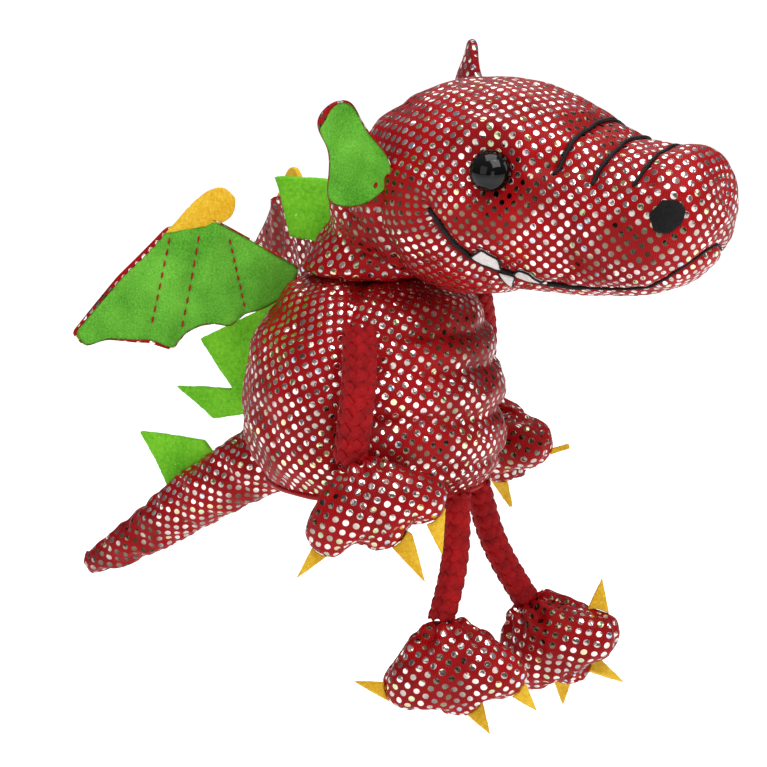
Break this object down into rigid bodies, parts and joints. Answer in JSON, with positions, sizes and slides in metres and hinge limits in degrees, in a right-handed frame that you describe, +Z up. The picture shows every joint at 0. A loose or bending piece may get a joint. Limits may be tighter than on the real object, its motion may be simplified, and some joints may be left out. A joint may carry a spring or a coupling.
{
  "type": "hand puppet",
  "caption": "Small stuffed dragon puppet worn on one finger, with felt wings, spines and claws, cord arms and legs and a nodding head.",
  "frame": {"origin": "centre of the finger socket's mouth, in the plane of the hem", "axes": "+Z up the finger, -Y the way the face looks, +X to the puppet's own left"},
  "size_m": [0.0807, 0.1476, 0.1314],
  "materials": {
    "dotted_cloth": "red cloth with round metallic foil dots",
    "plain_cloth": "plain red lining cloth",
    "velour": "short green pile",
    "green_felt": "matt pressed felt",
    "yellow_felt": "matt pressed felt",
    "white_felt": "matt pressed felt",
    "black_thread": "twisted thread",
    "red_thread": "twisted thread",
    "cord": "soft braided cotton cord",
    "wadding": "loose polyester fibre",
    "eye_plastic": "polished black",
    "washer_plastic": "moulded"
  },
  "bodies": {
    "trunk": {"back_spines": "green_felt", "body_back_panel": "dotted_cloth", "body_belly_panel": "dotted_cloth", "body_stuffing": "wadding", "finger_lining": "plain_cloth"},
    "arm_left": {"arm_cord_left": "cord"},
    "arm_right": {"arm_cord_right": "cord"},
    "ear_left": {"ear_lining_left": "velour", "ear_skin_left": "dotted_cloth"},
    "ear_right": {"ear_lining_right": "velour", "ear_skin_right": "dotted_cloth"},
    "head": {"eye_left": "eye_plastic", "eye_right": "eye_plastic", "eye_washer_left": "washer_plastic", "eye_washer_right": "washer_plastic", "head_skin": "dotted_cloth", "head_stuffing": "wadding", "jaw_skin": "dotted_cloth", "lower_teeth": "white_felt", "mouth_thread": "black_thread", "nostril_left": "black_thread", "nostril_right": "black_thread", "snout_stitches": "black_thread", "upper_teeth": "white_felt"},
    "foot_left": {"foot_claws_left": "yellow_felt", "foot_skin_left": "dotted_cloth", "foot_stuffing_left": "wadding"},
    "foot_right": {"foot_claws_right": "yellow_felt", "foot_skin_right": "dotted_cloth", "foot_stuffing_right": "wadding"},
    "hand_left": {"hand_claws_left": "yellow_felt", "hand_skin_left": "dotted_cloth", "hand_stuffing_left": "wadding"},
    "hand_right": {"hand_claws_right": "yellow_felt", "hand_skin_right": "dotted_cloth", "hand_stuffing_right": "wadding"},
    "leg_left": {"leg_cord_left": "cord"},
    "leg_right": {"leg_cord_right": "cord"},
    "neck": {"neck_skin": "dotted_cloth", "neck_spines": "green_felt", "neck_stuffing": "wadding"},
    "tail": {"tail_skin": "dotted_cloth", "tail_spine": "green_felt", "tail_stuffing": "wadding"},
    "wing_left": {"wing_claw_left": "yellow_felt", "wing_lining_left": "velour", "wing_skin_left": "dotted_cloth", "wing_veins_left": "red_thread"},
    "wing_right": {"wing_claw_right": "yellow_felt", "wing_lining_right": "velour", "wing_skin_right": "dotted_cloth", "wing_veins_right": "red_thread"}
  },
  "joints": [
    {"name": "neck_turn", "type": "hinge", "parent": "trunk", "child": "neck", "pos_m": [0, 0.001, 0.043], "axis": [0, 0, 1], "range_deg": [-25, 25]},
    {"name": "head_nod", "type": "hinge", "parent": "neck", "child": "head", "pos_m": [0, -0.009, 0.055], "axis": [1, 0, 0], "range_deg": [-15, 5]},
    {"name": "ear_bend_right", "type": "hinge", "parent": "head", "child": "ear_right", "pos_m": [-0.0196, -0.0134, 0.0652], "axis": [0, 0, -1], "range_deg": [-15, 20]},
    {"name": "ear_bend_left", "type": "hinge", "parent": "head", "child": "ear_left", "pos_m": [0.0186, -0.013, 0.0688], "axis": [0, 0, 1], "range_deg": [-15, 20]},
    {"name": "wing_flap_right", "type": "hinge", "parent": "trunk", "child": "wing_right", "pos_m": [-0.0082, 0.0194, 0.04], "axis": [0, 0, 1], "range_deg": [-20, 35]},
    {"name": "wing_flap_left", "type": "hinge", "parent": "trunk", "child": "wing_left", "pos_m": [0.0082, 0.0194, 0.04], "axis": [0, 0, -1], "range_deg": [-20, 35]},
    {"name": "arm_swing_right", "type": "hinge", "parent": "trunk", "child": "arm_right", "pos_m": [-0.0236, -0.0096, 0.034], "axis": [-0.9263, -0.3768, 0], "range_deg": [-20, 45]},
    {"name": "arm_swing_left", "type": "hinge", "parent": "trunk", "child": "arm_left", "pos_m": [0.0242, -0.0088, 0.034], "axis": [-0.9398, 0.3417, 0], "range_deg": [-20, 45]},
    {"name": "wrist_right", "type": "hinge", "parent": "arm_right", "child": "hand_right", "pos_m": [-0.0288, -0.0108, 0.0134], "axis": [-0.9263, -0.3768, 0], "range_deg": [-25, 25]},
    {"name": "wrist_left", "type": "hinge", "parent": "arm_left", "child": "hand_left", "pos_m": [0.0316, -0.0046, 0.0134], "axis": [-0.9398, 0.3417, 0], "range_deg": [-25, 25]},
    {"name": "hip_right", "type": "hinge", "parent": "trunk", "child": "leg_right", "pos_m": [-0.0052, -0.021, -0.0037], "axis": [-1, 0, 0], "range_deg": [-4, 40]},
    {"name": "hip_left", "type": "hinge", "parent": "trunk", "child": "leg_left", "pos_m": [0.0052, -0.021, -0.0037], "axis": [-1, 0, 0], "range_deg": [-10, 35]},
    {"name": "ankle_right", "type": "hinge", "parent": "leg_right", "child": "foot_right", "pos_m": [-0.0102, -0.021, -0.0212], "axis": [-1, 0, 0], "range_deg": [-20, 25]},
    {"name": "ankle_left", "type": "hinge", "parent": "leg_left", "child": "foot_left", "pos_m": [0.0092, -0.0276, -0.0212], "axis": [-1, 0, 0], "range_deg": [-20, 25]},
    {"name": "tail_lift", "type": "hinge", "parent": "trunk", "child": "tail", "pos_m": [0, 0.0248, 0.0025], "axis": [1, 0, 0], "range_deg": [-20, 12]}
  ]
}
